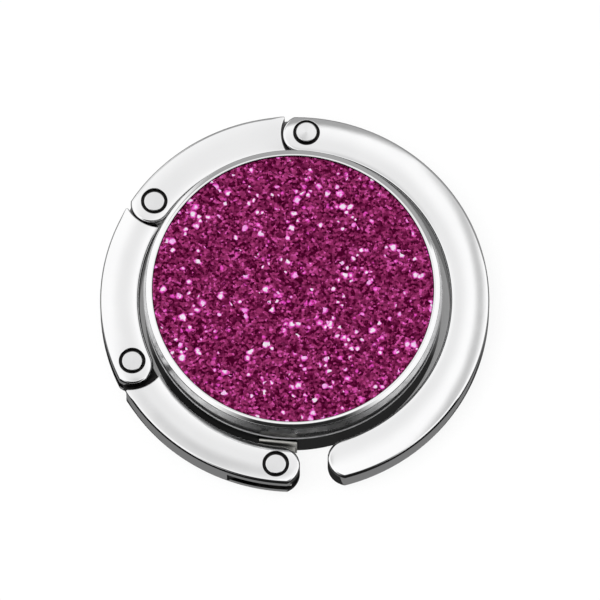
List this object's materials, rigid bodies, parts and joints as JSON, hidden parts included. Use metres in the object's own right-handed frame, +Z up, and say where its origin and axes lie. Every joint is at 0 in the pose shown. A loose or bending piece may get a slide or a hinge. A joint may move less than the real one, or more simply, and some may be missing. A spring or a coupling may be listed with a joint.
{
  "type": "folding purse hook",
  "caption": "Folding purse hook: a round glitter-topped disc with a rubber pad, and a ring of riveted chrome links and a hook arm that unfolds under a table edge.",
  "frame": {"origin": "on the table under the middle of the folded ring, at the height of the rubber pad's foot", "axes": "+Z up through the disc, square to its glitter face; +Y points from the swivel knuckle across the disc to the arm's rivet; the arm lies on the +X side"},
  "size_m": [0.045, 0.045, 0.0083],
  "materials": {
    "polished_chrome": "mirror polished plating on zinc alloy",
    "spring_steel": "plain spring steel",
    "pink_glitter": "magenta glitter under clear lacquer",
    "black_rubber": "matte",
    "adhesive_film": "thin double-sided film"
  },
  "bodies": {
    "disc": {"base_cup": "polished_chrome", "bezel_cup": "polished_chrome", "glitter_insert": "pink_glitter", "insert_adhesive": "adhesive_film", "rubber_pad": "black_rubber", "pad_adhesive": "adhesive_film", "swivel_washer": "spring_steel"},
    "knuckle": {"swivel_knuckle": "polished_chrome", "retaining_clip": "spring_steel"},
    "lower_link": {"lower_link": "polished_chrome", "lower_rivet": "polished_chrome"},
    "middle_link": {"middle_link": "polished_chrome", "middle_rivet": "polished_chrome"},
    "upper_link": {"upper_link": "polished_chrome", "upper_rivet": "polished_chrome"},
    "arm": {"hook_arm": "polished_chrome", "arm_rivet": "polished_chrome"}
  },
  "joints": [
    {"name": "disc_swivel", "type": "hinge", "parent": "disc", "child": "knuckle", "pos_m": [-0.00189, -0.01712, 0.00293], "axis": [-0.0982, -0.9952, 0], "range_deg": [-90, 90]},
    {"name": "lower_hinge", "type": "hinge", "parent": "knuckle", "child": "lower_link", "pos_m": [-0.00218, -0.02011, 0.00293], "axis": [0, 0, 1], "range_deg": [0, 36]},
    {"name": "middle_hinge", "type": "hinge", "parent": "lower_link", "child": "middle_link", "pos_m": [-0.01875, -0.00758, 0.00293], "axis": [0, 0, 1], "range_deg": [0, 18]},
    {"name": "upper_hinge", "type": "hinge", "parent": "middle_link", "child": "upper_link", "pos_m": [-0.01628, 0.012, 0.00293], "axis": [0, 0, 1], "range_deg": [0, 18]},
    {"name": "arm_hinge", "type": "hinge", "parent": "upper_link", "child": "arm", "pos_m": [0.00136, 0.02046, 0.00293], "axis": [0, 0, 1], "range_deg": [0, 90]}
  ],
  "couplings": [
    {"joint": "lower_hinge", "follows": "arm_hinge", "ratio": 0.4},
    {"joint": "middle_hinge", "follows": "arm_hinge", "ratio": 0.2},
    {"joint": "upper_hinge", "follows": "arm_hinge", "ratio": 0.2}
  ]
}
